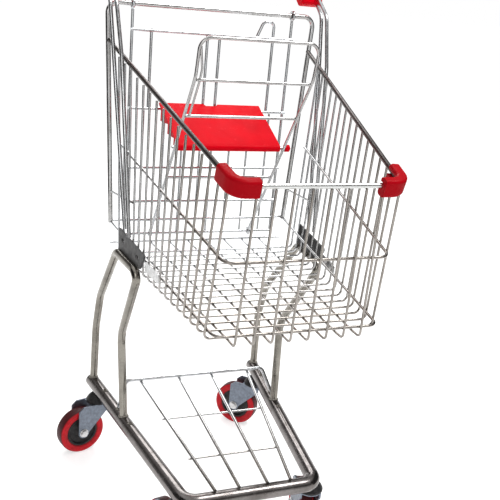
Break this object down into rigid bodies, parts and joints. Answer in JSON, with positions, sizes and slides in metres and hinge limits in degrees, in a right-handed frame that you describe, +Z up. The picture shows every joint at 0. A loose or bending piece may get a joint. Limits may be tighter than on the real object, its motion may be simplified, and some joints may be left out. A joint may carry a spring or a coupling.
{
  "type": "shopping cart",
  "caption": "Supermarket shopping cart with a tapered chromed wire basket, red corner bumpers, folding child seat, swinging rear gate and swivelling casters",
  "frame": {"origin": "on the floor, on the centre plane, midway between the front and rear caster swivel axes", "axes": "+Z up, +X across the cart from its left to its right, -Y the way it is pushed"},
  "size_m": [0.4869, 0.6244, 1.0026],
  "materials": {
    "chrome_tube": "bright chromed steel tube",
    "chrome_wire": "bright chromed steel wire",
    "red_plastic": "glossy red moulded plastic, lightly scuffed",
    "red_tread": "red polyurethane tread",
    "black_hub": "black moulded nylon",
    "black_cap": "black moulded plastic",
    "fork_steel": "pressed zinc-plated steel",
    "bolt_steel": "bright zinc-plated fastener",
    "gusset_grey": "dark grey coated steel"
  },
  "bodies": {
    "cart": {"chassis_rail_left": "chrome_tube", "chassis_rail_right": "chrome_tube", "chassis_front_tube": "chrome_tube", "rail_caps": "black_cap", "leg_left": "chrome_tube", "leg_right": "chrome_tube", "gusset_left": "gusset_grey", "gusset_right": "gusset_grey", "ring_clips": "bolt_steel", "rack_bar": "chrome_wire", "rack_wires": "chrome_wire", "basket_side_left": "chrome_wire", "basket_side_right": "chrome_wire", "basket_front": "chrome_wire", "basket_floor": "chrome_wire", "rear_post_left": "chrome_tube", "rear_post_right": "chrome_tube", "rim_left": "chrome_wire", "rim_right": "chrome_wire", "front_bar": "chrome_tube", "bumper_left": "red_plastic", "bumper_right": "red_plastic", "hinge_bar": "chrome_tube", "gate_stop_bar": "chrome_wire", "strut_front_left": "chrome_wire", "strut_front_right": "chrome_wire", "strut_rear_left": "chrome_wire", "strut_rear_right": "chrome_wire", "handle_tube": "chrome_tube", "handle_grip": "red_plastic", "handle_end_left": "red_plastic", "handle_end_right": "red_plastic", "caster_cups": "black_cap", "caster_stems": "bolt_steel"},
    "gate": {"gate_frame": "chrome_wire", "gate_grille": "chrome_wire"},
    "backrest": {"backrest_frame": "chrome_wire", "backrest_wires": "chrome_wire", "seat_hinge_wire": "chrome_wire"},
    "seat": {"seat_plate": "red_plastic", "seat_knob": "red_plastic"},
    "swivel_front_left": {"fork_front_left": "fork_steel", "axle_bolt_front_left": "bolt_steel"},
    "wheel_front_left": {"wheel_hub_front_left": "black_hub", "wheel_tread_front_left": "red_tread"},
    "swivel_front_right": {"fork_front_right": "fork_steel", "axle_bolt_front_right": "bolt_steel"},
    "wheel_front_right": {"wheel_hub_front_right": "black_hub", "wheel_tread_front_right": "red_tread"},
    "swivel_rear_left": {"fork_rear_left": "fork_steel", "axle_bolt_rear_left": "bolt_steel"},
    "wheel_rear_left": {"wheel_hub_rear_left": "black_hub", "wheel_tread_rear_left": "red_tread"},
    "swivel_rear_right": {"fork_rear_right": "fork_steel", "axle_bolt_rear_right": "bolt_steel"},
    "wheel_rear_right": {"wheel_hub_rear_right": "black_hub", "wheel_tread_rear_right": "red_tread"}
  },
  "joints": [
    {"name": "gate_hinge", "type": "hinge", "parent": "cart", "child": "gate", "pos_m": [0, 0.153, 0.929], "axis": [-1, 0, 0], "range_deg": [0, 28]},
    {"name": "backrest_fold", "type": "hinge", "parent": "gate", "child": "backrest", "pos_m": [0, 0.1477, 0.506], "axis": [-1, 0, 0], "range_deg": [0, 20]},
    {"name": "seat_fold", "type": "hinge", "parent": "backrest", "child": "seat", "pos_m": [0, 0.02711, 0.70287], "axis": [1, 0, 0], "range_deg": [0, 78]},
    {"name": "swivel_front_left", "type": "hinge", "parent": "cart", "child": "swivel_front_left", "pos_m": [-0.1286, -0.203, 0.11], "axis": [0, 0, 1], "continuous": true},
    {"name": "roll_front_left", "type": "hinge", "parent": "swivel_front_left", "child": "wheel_front_left", "pos_m": [-0.13572, -0.16262, 0.05], "axis": [-0.9848, -0.1736, 0], "continuous": true},
    {"name": "swivel_front_right", "type": "hinge", "parent": "cart", "child": "swivel_front_right", "pos_m": [0.1286, -0.203, 0.11], "axis": [0, 0, 1], "continuous": true},
    {"name": "roll_front_right", "type": "hinge", "parent": "swivel_front_right", "child": "wheel_front_right", "pos_m": [0.13851, -0.16322, 0.05], "axis": [-0.9703, 0.2419, 0], "continuous": true},
    {"name": "swivel_rear_left", "type": "hinge", "parent": "cart", "child": "swivel_rear_left", "pos_m": [-0.18474, 0.203, 0.11], "axis": [0, 0, 1], "continuous": true},
    {"name": "roll_rear_left", "type": "hinge", "parent": "swivel_rear_left", "child": "wheel_rear_left", "pos_m": [-0.22435, 0.19239, 0.05], "axis": [0.2588, -0.9659, 0], "continuous": true},
    {"name": "swivel_rear_right", "type": "hinge", "parent": "cart", "child": "swivel_rear_right", "pos_m": [0.18474, 0.203, 0.11], "axis": [0, 0, 1], "continuous": true},
    {"name": "roll_rear_right", "type": "hinge", "parent": "swivel_rear_right", "child": "wheel_rear_right", "pos_m": [0.15626, 0.23249, 0.05], "axis": [-0.7193, -0.6947, 0], "continuous": true}
  ],
  "couplings": [
    {"joint": "seat_fold", "follows": "backrest_fold", "ratio": 3.9}
  ]
}
